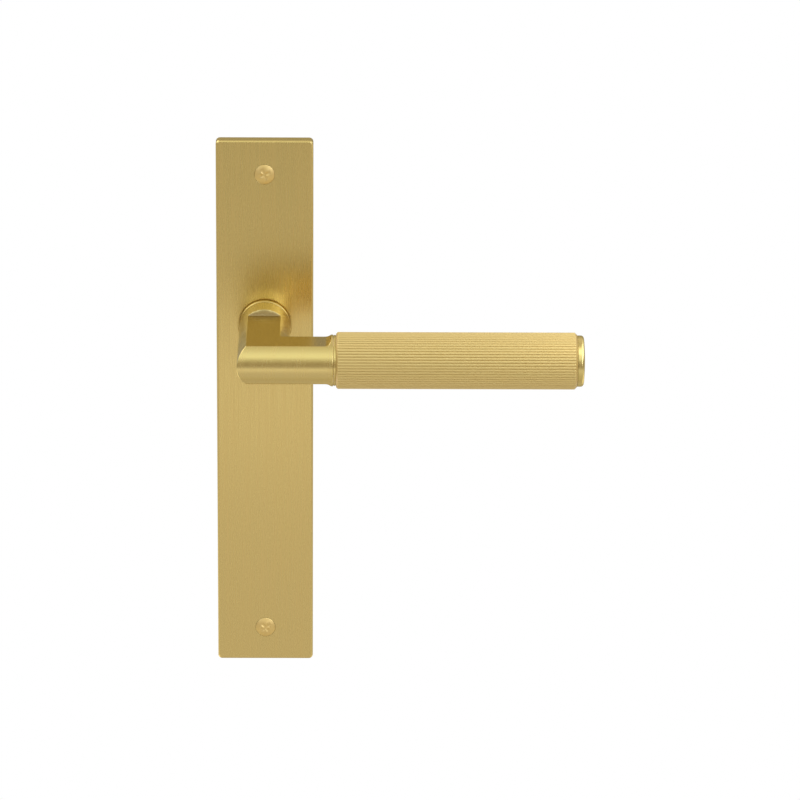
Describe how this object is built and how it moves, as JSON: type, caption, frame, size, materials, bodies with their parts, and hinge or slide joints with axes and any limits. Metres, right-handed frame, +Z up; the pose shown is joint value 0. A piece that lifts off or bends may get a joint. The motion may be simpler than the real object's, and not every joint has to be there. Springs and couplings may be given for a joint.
{
  "type": "lever handle lockset",
  "caption": "Mitred round lever with a straight-fluted grip, sprung and turning on a long rectangular backplate with a square spindle.",
  "frame": {"origin": "centre of the backplate's back face, which lies flat on the door", "axes": "+Y goes into the door, along the spindle; +Z is up, along the plate; +X runs along the lever towards its free end"},
  "size_m": [0.1575, 0.1346, 0.238],
  "materials": {
    "plate_brass": "satin, brushed up and down",
    "collar_brass": "satin",
    "neck_brass": "satin, brushed round the bar",
    "trim_brass": "satin, turned",
    "sleeve_brass": "satin, fluted lengthwise",
    "screw_brass": "satin",
    "bearing_nylon": "moulded",
    "pin_steel": "ground",
    "cam_steel": "stamped",
    "rod_steel": "rolled thread",
    "spindle_steel": "drawn, zinc plated",
    "spring_steel": "blued strip",
    "clip_steel": "black phosphate",
    "grub_steel": "black oxide",
    "cover_zinc": "zinc plated",
    "cover_screw_steel": "zinc plated"
  },
  "bodies": {
    "backplate_body": {"backplate": "plate_brass", "neck_collar": "collar_brass", "bearing_bush": "bearing_nylon", "thrust_washer": "bearing_nylon", "rest_stop_pin": "pin_steel", "end_stop_pin": "pin_steel", "spring_anchor_pin": "pin_steel", "return_spring": "spring_steel", "cassette_cover": "cover_zinc", "cover_screw_upper": "cover_screw_steel", "cover_screw_lower": "cover_screw_steel", "fixing_screw_upper": "screw_brass", "fixing_screw_lower": "screw_brass"},
    "lever_body": {"lever_neck": "neck_brass", "grip_spacer_ring": "trim_brass", "grip_sleeve": "sleeve_brass", "grip_end_cap": "trim_brass", "grip_tie_rod": "rod_steel", "spindle": "spindle_steel", "spindle_grub_screw": "grub_steel", "spring_cam": "cam_steel", "retaining_circlip": "clip_steel"}
  },
  "joints": [
    {"name": "lever_turn", "type": "hinge", "parent": "backplate_body", "child": "lever_body", "pos_m": [0, -0.006, 0.0365], "axis": [0, 1, 0], "range_deg": [0, 45], "stiffness_Nm_per_rad": 1, "springref_deg": -57.3, "deforming": ["return_spring"]}
  ]
}
